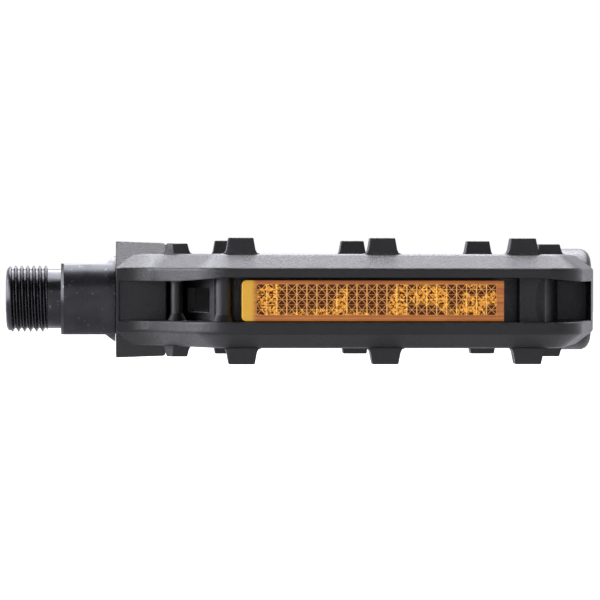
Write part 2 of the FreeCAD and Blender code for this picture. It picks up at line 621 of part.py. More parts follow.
def cage(ball_x, pitch_r, cone_r, count, facing):
    """Retainer on the cup's open side, with a pocket for each ball."""
    inner = cone_r + CAGE_GAP
    ends = sorted((ball_x + facing * CAGE_OFFSET, ball_x + facing * (CAGE_OFFSET + CAGE_WIDTH)))
    ring = tube(inner + CAGE_WALL, inner, ends[0], ends[1])
    return ring.cut([Part.makeSphere(RACE_R, c) for c in ball_places(ball_x, pitch_r, count)])


def dust_seal():
    """Ring pressed into the boss that wipes the spindle's seat."""
    start = BODY_START + SEAL_INSET
    return tube(INBOARD_CUP_R, SEAL_SEAT_R + RUN_GAP, start, start + SEAL_T)


def end_cap():
    """Plug in the outboard boss, with a coin slot."""
    disc = Part.makeCylinder(OUTBOARD_CUP_R, CAP_T, V(CAP_FACE - CAP_T, 0, 0), X_AXIS)
    rim = [e for e in disc.Edges if e.BoundBox.XLength < NEAR and e.BoundBox.XMin > CAP_FACE - NEAR]
    disc = disc.makeFillet(CAP_EDGE_R, rim)
    skirt = tube(OUTBOARD_CUP_R, OUTBOARD_CUP_R - CAP_WALL, CAP_FACE - CAP_T - CAP_SKIRT, CAP_FACE - CAP_T)
    length, width, depth = CAP_SLOT
    slot = box((CAP_FACE - depth, -length / 2, -width / 2), (CAP_FACE + OVERCUT, length / 2, width / 2))
    return disc.fuse(skirt).cut(slot).removeSplitter()


def reflector_lens():
    """Amber lens of the rear reflector: a face plate with a shallow rim behind it."""
    face_y = -RIM_Y + LENS_SETBACK
    block = box((LENS_START, face_y, LENS_LOW), (LENS_END, face_y + LENS_T + LENS_RIM_DEPTH, LENS_HIGH))
    corners = [e for e in block.Edges if e.BoundBox.XMax < LENS_START + NEAR and e.BoundBox.ZLength < NEAR]
    block = block.makeFillet(LENS_CORNER_R, corners)
    pocket = box((LENS_START + LENS_RIM, face_y + LENS_T, LENS_LOW + LENS_RIM),
                 (LENS_END - LENS_RIM, 0, LENS_HIGH - LENS_RIM))
    return block.cut(pocket)


def reflector_housing():
    """Tray behind the rear lens, with two snap studs that pass through the web."""
    lens_back = -RIM_Y + LENS_SETBACK + LENS_T
    floor_y = -RIM_Y + CHANNEL_DEPTH - TRAY_FIT
    web_y = -RIM_Y + RAIL_WIDTH
    inset = LENS_RIM + TRAY_FIT
    wall = inset + TRAY_WALL
    plug = box((LENS_START + inset, lens_back + TRAY_FRONT_GAP, LENS_LOW + inset),
               (LENS_END - inset, floor_y, LENS_HIGH - inset))
    flange = box((LENS_START + TRAY_EDGE, lens_back + LENS_RIM_DEPTH + TRAY_FIT, LENS_LOW + TRAY_LEVEL_EDGE),
                 (LENS_END - TRAY_EDGE, floor_y, LENS_HIGH - TRAY_LEVEL_EDGE))
    hollow = box((LENS_START + wall, lens_back, LENS_LOW + wall),
                 (LENS_END - wall, floor_y - TRAY_WALL, LENS_HIGH - wall))
    tray = plug.fuse(flange).cut(hollow)
    y_axis = V(0, 1, 0)
    for x in stud_places():
        start = V(x, floor_y - PEG_ROOT, LENS_MIDDLE)
        peg = Part.makeCylinder(STUD_PEG_R, web_y + PEG_ROOT - start.y, start, y_axis)
        head = Part.makeCone(STUD_HEAD_R, STUD_PEG_R - STUD_HEAD_TAPER, STUD_HEAD_T,
                             V(x, web_y + TRAY_FIT, LENS_MIDDLE), y_axis)
        tray = tray.fuse([peg, head])
    return tray.removeSplitter()


def make_parts():
    """Every piece by its node's name."""
    neck_in = SHAFT_R + NECK_GAP
    neck_out = SHAFT_WAIST_R + NECK_GAP
    lens = reflector_lens()
    housing = reflector_housing()
    return {
        "spindle": spindle(),
        "outboard_cone": outboard_cone(),
        "key_washer": key_washer(),
        "lock_nut": lock_nut(),
        "pedal_body": pedal_body(),
        "inboard_cup": cup(INBOARD_BALL_X, INBOARD_PITCH_R, INBOARD_CUP_R, neck_in, -1),
        "outboard_cup": cup(OUTBOARD_BALL_X, OUTBOARD_PITCH_R, OUTBOARD_CUP_R, neck_out, 1),
        "dust_seal": dust_seal(),
        "end_cap": end_cap(),
        "rear_reflector_lens": lens,
        "rear_reflector_housing": housing,
        "front_reflector_lens": turned_front(lens),
        "front_reflector_housing": turned_front(housing),
        "inboard_balls": balls(INBOARD_BALL_X, INBOARD_PITCH_R, INBOARD_BALLS),
        "inboard_ball_cage": cage(INBOARD_BALL_X, INBOARD_PITCH_R, SEAL_SEAT_R, INBOARD_BALLS, -1),
        "outboard_balls": balls(OUTBOARD_BALL_X, OUTBOARD_PITCH_R, OUTBOARD_BALLS),
        "outboard_ball_cage": cage(OUTBOARD_BALL_X, OUTBOARD_PITCH_R, OUTBOARD_PITCH_R - RACE_LAND,
                                   OUTBOARD_BALLS, 1),
    }


os.makedirs("parts", exist_ok=True)
for name, shape in make_parts().items():
    shape.exportStep("parts/" + name + ".step")
    print(name, "solids", len(shape.Solids), "valid", shape.isValid(), "volume", round(shape.Volume, 1))
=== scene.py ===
# %% [markdown]
# A flat bicycle pedal for the right-hand crank, seen edge-on. The engineering model gives every
# piece its place and size. This lesson gives the pieces their looks: moulded nylon, blackened and
# ground steel, and amber prism reflectors. It begins by loading that model as a frame that nothing
# here may move.

# %% Load the frame
import json
import math

import bmesh
import bpy
from mathutils import Matrix, Vector


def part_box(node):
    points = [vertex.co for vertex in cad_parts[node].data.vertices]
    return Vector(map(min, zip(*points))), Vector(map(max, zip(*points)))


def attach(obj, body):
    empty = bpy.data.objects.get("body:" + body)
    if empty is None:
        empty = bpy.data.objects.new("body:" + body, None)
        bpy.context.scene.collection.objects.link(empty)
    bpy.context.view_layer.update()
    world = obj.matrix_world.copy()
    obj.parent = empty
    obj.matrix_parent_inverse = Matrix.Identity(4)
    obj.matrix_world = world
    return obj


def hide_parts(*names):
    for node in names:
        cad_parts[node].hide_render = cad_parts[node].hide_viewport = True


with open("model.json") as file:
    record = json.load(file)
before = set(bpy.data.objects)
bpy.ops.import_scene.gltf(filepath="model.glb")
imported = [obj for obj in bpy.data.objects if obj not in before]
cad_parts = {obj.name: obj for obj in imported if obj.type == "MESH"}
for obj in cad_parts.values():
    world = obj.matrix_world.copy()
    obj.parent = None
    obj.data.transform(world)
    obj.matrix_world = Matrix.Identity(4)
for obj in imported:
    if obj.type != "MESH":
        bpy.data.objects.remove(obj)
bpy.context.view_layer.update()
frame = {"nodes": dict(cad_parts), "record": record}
nodes = frame["nodes"]
MM = 0.001
AXIS_X = Vector((1, 0, 0))

# %% [markdown]
# Black plastic shows its shape by what it mirrors, so the studio matters as much as the surface.
# The picture is viewed without any film curve, so that the paper behind stays plain white.

# %% Colour management
scene = bpy.context.scene
scene.view_settings.view_transform = "Standard"
scene.view_settings.look = "None"
scene.view_settings.exposure = 0.0

# %% [markdown]
# Small helpers for shader trees. Each one adds a node, sets its values by name and wires its
# inputs, so that the materials below read as short recipes.


# %% Shader helpers
def add(tree, kind, settings=None, values=None, links=None):
    """Adds a node, sets its options and unlinked values, and wires its inputs."""
    node = tree.nodes.new(kind)
    for name, value in (settings or {}).items():
        setattr(node, name, value)
    for name, value in (values or {}).items():
        node.inputs[name].default_value = value
    for name, source in (links or {}).items():
        tree.links.new(source, node.inputs[name])
    return node


def maths(tree, operation, first, second=0.0):
    """One arithmetic step on values or sockets."""
    node = add(tree, "ShaderNodeMath", {"operation": operation})
    for socket, value in zip(node.inputs, (first, second)):
        if isinstance(value, bpy.types.NodeSocket):
            tree.links.new(value, socket)
        else:
            socket.default_value = value
    return node.outputs[0]


def steps(tree, source, low, high, to_low=0.0, to_high=1.0):
    """Smooth change from one value to another as the source passes from low to high."""
    limits = {"From Min": low, "From Max": high, "To Min": to_low, "To Max": to_high}
    node = add(tree, "ShaderNodeMapRange", {"interpolation_type": "SMOOTHSTEP"}, limits, {"Value": source})
    return node.outputs["Result"]


def new_group(name, inputs, outputs):
    """Empty shader node group with named sockets; returns the group, its inputs and its output node."""
    group = bpy.data.node_groups.new(name, "ShaderNodeTree")
    for label, kind, value in inputs:
        socket = group.interface.new_socket(label, in_out="INPUT", socket_type=kind)
        socket.default_value = value
    for label, kind in outputs:
        group.interface.new_socket(label, in_out="OUTPUT", socket_type=kind)
    return group, group.nodes.new("NodeGroupInput").outputs, group.nodes.new("NodeGroupOutput")


def use_group(tree, group, values):
    """A node group placed in a material with its values set."""
    node = add(tree, "ShaderNodeGroup", {"node_tree": group}, values)
    return node.outputs


def principled(name, values):
    """New material; returns it, its tree and its Principled shader with plain values set."""
    material = bpy.data.materials.new(name)
    material.use_nodes = True
    shader = material.node_tree.nodes["Principled BSDF"]
    for label, value in values.items():
        shader.inputs[label].default_value = value
    return material, material.node_tree, shader


# %% [markdown]
# The studio is painted on the world, because a black glossy thing shows only what stands round it.
# One wide softbox overhead, tilted back, lights the sloped upper edges. Two tall panels at the sides
# catch corners and rounded posts, the left one much the brighter. The wall behind is soft, and a dim
# card in front keeps upright faces just above black. The camera itself sees white paper everywhere.
# Lamps could do the same, but their shapes would have to be placed and hidden one by one.

# %% World
OVERHEAD_TILT = math.radians(25)  # softbox's middle, back from straight up
OVERHEAD_FULL = math.radians(29)  # half its width at full strength
OVERHEAD_EDGE = math.radians(38)  # and out to where it has faded
OVERHEAD = 8.0
ROOM = 0.20
FRONT_CARD = 0.62
LEFT_PANEL = 5.2
RIGHT_PANEL = 0.7
BACK = 0.9
LIGHT_COLOUR = (0.93, 0.93, 1.0, 1)


def studio_world():
    """White to the camera; softbox, side panels, back wall and front card to everything else."""
    world = bpy.data.worlds.new("studio")
    world.use_nodes = True
    tree = world.node_tree
    white = tree.nodes["Background"]
    white.inputs["Color"].default_value = (1, 1, 1, 1)
    direction = add(tree, "ShaderNodeTexCoord").outputs["Generated"]
    axes = add(tree, "ShaderNodeSeparateXYZ", links={"Vector": direction}).outputs
    aim = add(tree, "ShaderNodeVectorMath", {"operation": "DOT_PRODUCT"}, links={"Vector": direction})
    aim.inputs[1].default_value = (0, math.sin(OVERHEAD_TILT), math.cos(OVERHEAD_TILT))
    top = steps(tree, aim.outputs["Value"], math.cos(OVERHEAD_EDGE), math.cos(OVERHEAD_FULL), 0.0, OVERHEAD)
    level = steps(tree, maths(tree, "ABSOLUTE", axes["Z"]), 0.35, 0.7, 1.0, 0.0)
    panels = maths(tree, "ADD", steps(tree, axes["X"], -0.62, -0.85, 0.0, LEFT_PANEL),
                   steps(tree, axes["X"], 0.62, 0.85, 0.0, RIGHT_PANEL))
    side = maths(tree, "MULTIPLY", panels, level)
    back = steps(tree, axes["Y"], 0.2, 0.7, ROOM, BACK)
    card = steps(tree, axes["Y"], -0.75, -0.90, 0.0, FRONT_CARD)
    strength = maths(tree, "ADD", maths(tree, "ADD", top, side), maths(tree, "ADD", back, card))
    light = add(tree, "ShaderNodeBackground", values={"Color": LIGHT_COLOUR}, links={"Strength": strength})
    seen = add(tree, "ShaderNodeLightPath").outputs["Is Camera Ray"]
    mix = add(tree, "ShaderNodeMixShader")
    tree.links.new(seen, mix.inputs[0])
    tree.links.new(light.outputs[0], mix.inputs[1])
    tree.links.new(white.outputs[0], mix.inputs[2])
    tree.links.new(mix.outputs[0], tree.nodes["World Output"].inputs["Surface"])
    scene.world = world


studio_world()
print("world nodes:", len(scene.world.node_tree.nodes))

# %% [markdown]
# The floor is a wide sheet of pale paper some way under the pedal, so that no shadow touches it. A
# pedal lying on a table would tip and hide its lower teeth, so it floats as on its crank. The paper
# glows a little for the camera alone, which keeps it evenly bright.

# %% Stage
FLOOR_PLACE = (0.05, 0, -0.10)  # under the middle of the pedal, in metres
FLOOR_R = 6.0
FLOOR_GREY = (0.3, 0.3, 0.3, 1)
FLOOR_LIGHT = 0.8


def stage_floor():
    """One large pale sheet of paper, evenly bright to the camera."""
    bm = bmesh.new()
    bmesh.ops.create_circle(bm, cap_ends=True, segments=64, radius=FLOOR_R)
    bmesh.ops.translate(bm, verts=bm.verts, vec=FLOOR_PLACE)
    mesh = bpy.data.meshes.new("stage_floor")
    bm.to_mesh(mesh)
    bm.free()
    floor = bpy.data.objects.new("stage_floor", mesh)
    scene.collection.objects.link(floor)
    paper, tree, shader = principled("stage_paper", {"Base Color": FLOOR_GREY, "Roughness": 0.9,
                                                     "Emission Color": (1, 1, 1, 1)})
    seen = add(tree, "ShaderNodeLightPath").outputs["Is Camera Ray"]
    tree.links.new(maths(tree, "MULTIPLY", seen, FLOOR_LIGHT), shader.inputs["Emission Strength"])
    mesh.materials.append(paper)
    return floor


stage_floor()

# %% [markdown]
# Moulded nylon takes the fine spark-eroded grain of its mould, and its edges are never knife sharp.
# The grain could be displaced geometry, but at a third of a millimetre it would take millions of
# faces, so it is a bump. One node group gives it as a height and as small changes of gloss. It reads
# the piece's own coordinates, in metres, so the grain stays put when the platform turns.

# %% Grain group
GRAIN_PER_M = 3400.0


def grain_group():
    """Fine moulded grain: a height, and a value that scatters the gloss."""
    group, given, out = new_group(
        "moulded_grain",
        [("Grain per metre", "NodeSocketFloat", GRAIN_PER_M)],
        [("Height", "NodeSocketFloat"), ("Scatter", "NodeSocketFloat"), ("Patches", "NodeSocketFloat")])
    place = add(group, "ShaderNodeTexCoord").outputs["Object"]
    fine = add(group, "ShaderNodeTexNoise", values={"Detail": 2.0, "Roughness": 0.55},
               links={"Vector": place, "Scale": given["Grain per metre"]}).outputs["Fac"]
    cells = add(group, "ShaderNodeTexVoronoi",
                links={"Vector": place, "Scale": given["Grain per metre"]}).outputs["Distance"]
    wide = add(group, "ShaderNodeTexNoise", values={"Scale": 60.0, "Detail": 3.0},
               links={"Vector": place}).outputs["Fac"]
    height = maths(group, "ADD", fine, maths(group, "MULTIPLY", cells, 0.5))
    group.links.new(height, out.inputs["Height"])
    group.links.new(steps(group, fine, 0.3, 0.7), out.inputs["Scatter"])
    group.links.new(steps(group, wide, 0.38, 0.62), out.inputs["Patches"])
    return group


grain = grain_group()
print("grain nodes:", len(grain.nodes))

# %% [markdown]
# Turned and ground steel carries fine rings round its axis. A second group makes the rings by
# reading noise along the X axis alone, with light stains left by oil and heat, and a few specks of
# dust that the oil holds.

# %% Ring group
RINGS_PER_M = 9000.0


def ring_group():
    """Fine turned rings about the X axis, soft stains and sparse specks."""
    group, given, out = new_group(
        "turned_rings",
        [("Rings per metre", "NodeSocketFloat", RINGS_PER_M)],
        [("Height", "NodeSocketFloat"), ("Stains", "NodeSocketFloat"), ("Specks", "NodeSocketFloat")])
    place = add(group, "ShaderNodeTexCoord").outputs["Object"]
    axes = add(group, "ShaderNodeSeparateXYZ", links={"Vector": place}).outputs
    flat = add(group, "ShaderNodeCombineXYZ", links={"X": axes["X"]}).outputs["Vector"]
    rings = add(group, "ShaderNodeTexNoise", values={"Detail": 1.0},
                links={"Vector": flat, "Scale": given["Rings per metre"]}).outputs["Fac"]
    stains = add(group, "ShaderNodeTexNoise", values={"Scale": 180.0, "Detail": 4.0},
                 links={"Vector": place}).outputs["Fac"]
    specks = add(group, "ShaderNodeTexNoise", values={"Scale": 1100.0, "Detail": 2.0},
                 links={"Vector": place}).outputs["Fac"]
    group.links.new(rings, out.inputs["Height"])
    group.links.new(steps(group, stains, 0.35, 0.65), out.inputs["Stains"])
    group.links.new(steps(group, specks, 0.66, 0.74), out.inputs["Specks"])
    return group


rings = ring_group()
print("ring nodes:", len(rings.nodes))

# %% [markdown]
# Two recipes make most finishes. Both round their edges with the shader's bevel, which only changes
# how light falls, and lay the grain or rings over that. The steel's recipe also lays dust in the
# oil. A recipe keeps the finishes of one kind alike, as pieces from one shop are.

# %% Finish recipes
DUST = (0.15, 0.15, 0.16, 1)
STEEL_EDGE = 0.12 * MM
STEEL_DEPTH = 0.01 * MM


def two_tone(tree, factor, low, high):
    """Colour between two, by a factor."""
    mix = add(tree, "ShaderNodeMix", {"data_type": "RGBA"}, links={"Factor": factor})
    mix.inputs[6].default_value = (*low, 1)
    mix.inputs[7].default_value = (*high, 1)
    return mix.outputs[2]


def surface_normal(tree, shader, height, depth, edge):
    """Bump from a height in metres over edges rounded by a radius in metres."""
    rounded = add(tree, "ShaderNodeBevel", {"samples": 4}, {"Radius": edge}).outputs["Normal"]
    bump = add(tree, "ShaderNodeBump", values={"Strength": 1.0, "Distance": depth},
               links={"Height": height, "Normal": rounded})
    tree.links.new(bump.outputs["Normal"], shader.inputs["Normal"])


def moulded(name, low, high, gloss, depth, edge=0.25 * MM):
    """Moulded plastic or rubber between two tones; gloss is (smoothest, roughest)."""
    material, tree, shader = principled(name, {"Metallic": 0.0, "IOR": 1.5})
    out = use_group(tree, grain, {"Grain per metre": GRAIN_PER_M})
    tree.links.new(two_tone(tree, out["Patches"], low, high), shader.inputs["Base Color"])
    tree.links.new(steps(tree, out["Scatter"], 0, 1, *gloss), shader.inputs["Roughness"])
    surface_normal(tree, shader, out["Height"], depth, edge)
    return material


def turned_steel(name, low, high, gloss):
    """Turned or ground steel between two tones, with specks of dust; gloss is (smoothest, roughest)."""
    material, tree, shader = principled(name, {"Metallic": 1.0})
    out = use_group(tree, rings, {"Rings per metre": RINGS_PER_M})
    dusty = add(tree, "ShaderNodeMix", {"data_type": "RGBA"}, links={"Factor": out["Specks"]})
    tree.links.new(two_tone(tree, out["Stains"], low, high), dusty.inputs[6])
    dusty.inputs[7].default_value = DUST
    tree.links.new(dusty.outputs[2], shader.inputs["Base Color"])
    tree.links.new(steps(tree, out["Stains"], 0, 1, *gloss), shader.inputs["Roughness"])
    surface_normal(tree, shader, out["Height"], STEEL_DEPTH, STEEL_EDGE)
    return material


# %% [markdown]
# Each finish in the model's list, made from the two recipes. The nylon is near black with a satin
# grain. The spindle is blackened steel under a film of oil. The bearings keep their bare ground
# steel, and the washer and nut are zinc plated. Pieces whose shape is already right keep it and only
# get their finish here.

# %% Finishes
finishes = {
    "moulded_nylon": moulded("moulded_nylon", (0.0055, 0.0055, 0.0058), (0.0080, 0.0080, 0.0086),
                             (0.28, 0.50), 0.05 * MM, 0.35 * MM),
    "seal_rubber": moulded("seal_rubber", (0.010, 0.010, 0.010), (0.014, 0.014, 0.014),
                           (0.6, 0.8), 0.01 * MM),
    "cap_plastic": moulded("cap_plastic", (0.014, 0.014, 0.016), (0.018, 0.018, 0.020),
                           (0.3, 0.4), 0.01 * MM),
    "reflector_tray": moulded("reflector_tray", (0.02, 0.02, 0.02), (0.03, 0.03, 0.03),
                              (0.4, 0.5), 0.01 * MM),
    "bearing_steel": turned_steel("bearing_steel", (0.42, 0.42, 0.43), (0.50, 0.50, 0.50), (0.22, 0.32)),
    "zinc_steel": turned_steel("zinc_steel", (0.55, 0.55, 0.52), (0.64, 0.64, 0.62), (0.30, 0.42)),
    "ball_steel": turned_steel("ball_steel", (0.70, 0.70, 0.71), (0.76, 0.76, 0.77), (0.06, 0.10)),
    "cage_steel": turned_steel("cage_steel", (0.48, 0.45, 0.38), (0.58, 0.55, 0.47), (0.30, 0.40)),
    "spindle_steel": turned_steel("spindle_steel", (0.050, 0.050, 0.053), (0.066, 0.066, 0.070),
                                  (0.20, 0.28)),
}
slots = {part["node"]: part["material_slot"] for part in frame["record"]["subparts"]}
for name, node in nodes.items():
    if slots[name] in finishes:
        node.data.materials.clear()
        node.data.materials.append(finishes[slots[name]])
print("finishes:", sorted(finishes))

# %% [markdown]
# The spindle's crank thread is 9/16 inch with 20 threads to the inch, right-handed. The engineering
# model keeps a plain cylinder there. A profile screwed along the axis could make a thread too, but it
# leaves open ends. This lesson turns a closed blank on the axis instead, and then cuts the helical
# groove into it, ring of points by ring of points, as a die would. Sizes are in millimetres.

# %% Thread sizes
THREAD_END = -11.6       # the spindle's end face
THREAD_START = -2.9      # where the thread meets the relief
THREAD_R = 7.05
THREAD_PITCH = 1.27
THREAD_DEPTH = 0.78
CREST_FLAT = 0.12        # share of the pitch left flat at the crest
ROOT_FLAT = 0.18         # and at the root
CREST_AT = -3.3          # a crest passes here on top
END_ROUND = 1.5
END_FACE_R = 3.0
PILOT_END = -10.9        # the groove begins here
RUN_IN = 0.4             # and reaches its depth over this length
STUB_R = 6.2             # short stub that runs into the relief
STUB_LENGTH = 0.3
CORE_R = 5.0             # the groove never touches anything nearer the axis
STEPS_PER_PITCH = 26
TURN_STEPS = 144


def blank_profile():
    """Rings of the thread's blank from its end to its root at the relief, as (x, radius) in mm."""
    rings_along = int((THREAD_START - THREAD_END) / THREAD_PITCH * STEPS_PER_PITCH)
    body = []
    for i in range(rings_along + 1):
        x = THREAD_END + (THREAD_START - THREAD_END) * i / rings_along
        rest = max(0.0, 1 - (x - THREAD_END) / END_ROUND)
        body.append((x, THREAD_R - END_ROUND * (1 - math.sqrt(1 - rest * rest))))
    stub_end = THREAD_START + STUB_LENGTH
    stub = [(THREAD_START, STUB_R), (stub_end, STUB_R), (stub_end, 0.0)]
    return [(THREAD_END, 0.0), (THREAD_END, END_FACE_R)] + body + stub


def groove(x, angle):
    """Depth of the thread's groove below the crest at a place along and round the axis, in mm."""
    turn = ((x - CREST_AT) / THREAD_PITCH - (angle - math.pi / 2) / (2 * math.pi)) % 1.0
    away = 2 * min(turn, 1 - turn)
    share = (away - CREST_FLAT) / (1 - CREST_FLAT - ROOT_FLAT)
    run_in = min(max((x - PILOT_END) / RUN_IN, 0.0), 1.0)
    return THREAD_DEPTH * run_in * min(max(share, 0.0), 1.0)


print("groove at a crest and half a pitch on:", groove(CREST_AT, math.pi / 2),
      groove(CREST_AT + THREAD_PITCH / 2, math.pi / 2))


# %% [markdown]
# A full spin closes on itself, so its seam is merged and its normals are put right before anything
# else is done. The groove then only moves points inward, and never deeper than the blank allows.

# %% Thread
NEAR = 0.01              # places closer than this, in mm, are the same place


def spun(bm, profile):
    """Spins (x, radius) corners in mm a full turn about the X axis and closes the skin."""
    corners = [bm.verts.new((x * MM, 0, r * MM)) for x, r in profile]
    edges = [bm.edges.new(pair) for pair in zip(corners, corners[1:])]
    bmesh.ops.spin(bm, geom=corners + edges, cent=(0, 0, 0), axis=AXIS_X, dvec=(0, 0, 0),
                   angle=2 * math.pi, steps=TURN_STEPS, use_merge=True, use_duplicate=False)
    bmesh.ops.remove_doubles(bm, verts=bm.verts, dist=1e-7)
    bmesh.ops.recalc_face_normals(bm, faces=bm.faces)


def cut_thread(bm):
    """Presses the helical groove into the blank's outer rings."""
    for vert in bm.verts:
        x = vert.co.x / MM
        radius = math.hypot(vert.co.y, vert.co.z) / MM
        if radius < CORE_R or x > THREAD_START + NEAR:
            continue
        wanted = min(radius, THREAD_R - groove(x, math.atan2(vert.co.z, vert.co.y)))
        if radius > wanted:
            vert.co.y *= wanted / radius
            vert.co.z *= wanted / radius


thread_mesh = bmesh.new()
spun(thread_mesh, blank_profile())
cut_thread(thread_mesh)
print("thread faces:", len(thread_mesh.faces))

# %% [markdown]
# The rest of the spindle keeps the engineering model's shape: relief, collar with its two wrench
# flats, race, shaft and stud. A copy of it is welded, cut off inside the relief and closed, and the
# threaded end is joined on. On the real spindle all of this is one forging, then turned.

# %% Spindle
SHARP = math.radians(40)
THREAD_SHARP = math.radians(75)
CUT_PAST_THREAD = 0.05   # the copy is cut this far inside the relief, in mm


def piece_from(bm, name, materials, body):
    """Finishes a mesh as a piece that rides on a body of the frame."""
    mesh = bpy.data.meshes.new(name)
    bm.to_mesh(mesh)
    bm.free()
    for material in materials:
        mesh.materials.append(material)
    piece = bpy.data.objects.new(name, mesh)
    scene.collection.objects.link(piece)
    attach(piece, body)
    return piece


def welded_copy(node):
    """The engineering mesh of a node with its loose triangles merged."""
    bm = bmesh.new()
    bm.from_mesh(nodes[node].data)
    bmesh.ops.remove_doubles(bm, verts=bm.verts, dist=1e-7)
    return bm


def smooth_by_angle(bm, angle=SHARP):
    """Smooth faces, with edges sharper than the angle kept crisp."""
    for face in bm.faces:
        face.smooth = True
    for edge in bm.edges:
        edge.smooth = edge.is_manifold and edge.calc_face_angle(0) < angle


def spindle_piece():
    """Model's spindle without its plain thread, joined to the cut thread."""
    bm = welded_copy("spindle")
    cut_at = ((THREAD_START + CUT_PAST_THREAD) * MM, 0, 0)
    cut = bmesh.ops.bisect_plane(bm, geom=bm.verts[:] + bm.edges[:] + bm.faces[:], dist=1e-7,
                                 plane_co=cut_at, plane_no=-AXIS_X, clear_outer=True)
    rim = [g for g in cut["geom_cut"] if isinstance(g, bmesh.types.BMEdge)]
    bmesh.ops.edgenet_fill(bm, edges=rim)
    bmesh.ops.recalc_face_normals(bm, faces=bm.faces)
    smooth_by_angle(bm)
    smooth_by_angle(thread_mesh, THREAD_SHARP)
    stub = bpy.data.meshes.new("thread_stub")
    thread_mesh.to_mesh(stub)
    thread_mesh.free()
    bm.from_mesh(stub)
    bpy.data.meshes.remove(stub)
    steel = [finishes["spindle_steel"]]
    piece = piece_from(bm, "threaded_spindle", steel, "spindle_assembly")
    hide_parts("spindle")
    return piece


spindle = spindle_piece()
print("spindle faces:", len(spindle.data.polygons))

# %% [markdown]
# A reflector is a bar of clear amber acrylic. Its back is moulded into rows of tiny prisms, which
# show through the face as stars of six dark facets between bright ridges. The bar is made from a
# block with a rounded end, hollowed behind for the tray; its field of prisms is set a little below
# the face, cut into cells, and each cell pressed in to a point.

# %% Reflector sizes
LENS_LOW, LENS_HIGH = (Vector(v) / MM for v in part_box("rear_reflector_lens"))
FACE_Y = LENS_LOW.y
FIELD_X = (39.45, 87.65)  # field of prisms, along the spindle
FIELD_Z = (-2.72, 3.42)  # and up
FIELD_DROP = 0.22
LENS_PLATE = 1.6
LENS_WALL = 0.9
CORNER_R = 0.9
FACE_EDGE_R = 0.18
COLUMNS, ROWS = 24, 3
PRISM_DEPTH = 0.42
COLUMN_RIDGE = 0.09      # half the width of the ridge between columns
RIDGE = 0.045            # half the width of the ridges within a cell
RIDGE_RISE = 0.03
FRONT_ZONE = 1.0         # faces nearer the front than this belong to it
SQUARE_ON = 0.99         # a face's normal this near an axis faces along it
LINE, FACET = 1, 2       # the first of the three amber materials is the border's
print("lens mm:", [round(v, 2) for v in LENS_LOW], [round(v, 2) for v in LENS_HIGH])


# %% Reflector block
def lens_block(bm):
    """Block with rounded left corners and a softened face, hollow behind."""
    size = LENS_HIGH - LENS_LOW
    middle = (LENS_HIGH + LENS_LOW) / 2
    place = Matrix.Translation(middle * MM) @ Matrix.Diagonal((*(size * MM), 1))
    bmesh.ops.create_cube(bm, size=1.0, matrix=place)
    left = [e for e in bm.edges if all(v.co.x < (LENS_LOW.x + NEAR) * MM for v in e.verts)
            and abs(e.verts[0].co.y - e.verts[1].co.y) > MM]
    bmesh.ops.bevel(bm, geom=left, offset=CORNER_R * MM, offset_type="OFFSET", segments=8, profile=0.5,
                    affect="EDGES", material=-1)
    face_rim = [e for e in bm.edges if all(v.co.y < (FACE_Y + NEAR) * MM for v in e.verts)]
    bmesh.ops.bevel(bm, geom=face_rim, offset=FACE_EDGE_R * MM, offset_type="OFFSET", segments=3,
                    profile=0.5, affect="EDGES", material=-1)
    back = [f for f in bm.faces if f.normal.y > SQUARE_ON]
    bmesh.ops.inset_region(bm, faces=back, thickness=LENS_WALL * MM, depth=0, use_even_offset=True)
    hollow = bmesh.ops.extrude_face_region(bm, geom=back)
    floor = [g for g in hollow["geom"] if isinstance(g, bmesh.types.BMVert)]
    bmesh.ops.translate(bm, verts=floor, vec=(0, (LENS_PLATE - size.y) * MM, 0))
    bmesh.ops.delete(bm, geom=back, context="FACES_ONLY")


def faces_in_field(bm):
    """Faces of the front that lie within the field of prisms."""
    found = []
    for face in bm.faces:
        centre = face.calc_center_median() / MM
        inside = FIELD_X[0] < centre.x < FIELD_X[1] and FIELD_Z[0] < centre.z < FIELD_Z[1]
        if inside and centre.y < FACE_Y + FRONT_ZONE and face.normal.y < -SQUARE_ON:
            found.append(face)
    return found


def slice_front(bm, place, normal):
    """Cuts the front faces along a plane."""
    limit = (FACE_Y + FRONT_ZONE) * MM
    front = [f for f in bm.faces if f.normal.y < -SQUARE_ON and f.calc_center_median().y < limit]
    edges = {e for f in front for e in f.edges}
    verts = {v for f in front for v in f.verts}
    bmesh.ops.bisect_plane(bm, geom=list(verts) + list(edges) + front, dist=1e-8,
                           plane_co=Vector(place) * MM, plane_no=normal)


# %% [markdown]
# The real field is moulded against a block of pointed pins. Here the sunk field is sliced into
# cells, the sides of each cell are split in two so that it has six corners, and poke presses its
# middle in to a point. An inset round every facet leaves the ridges, which take their own material.

# %% Reflector prisms
MIN_CELL = 1.0           # square mm; anything smaller is a ridge between columns


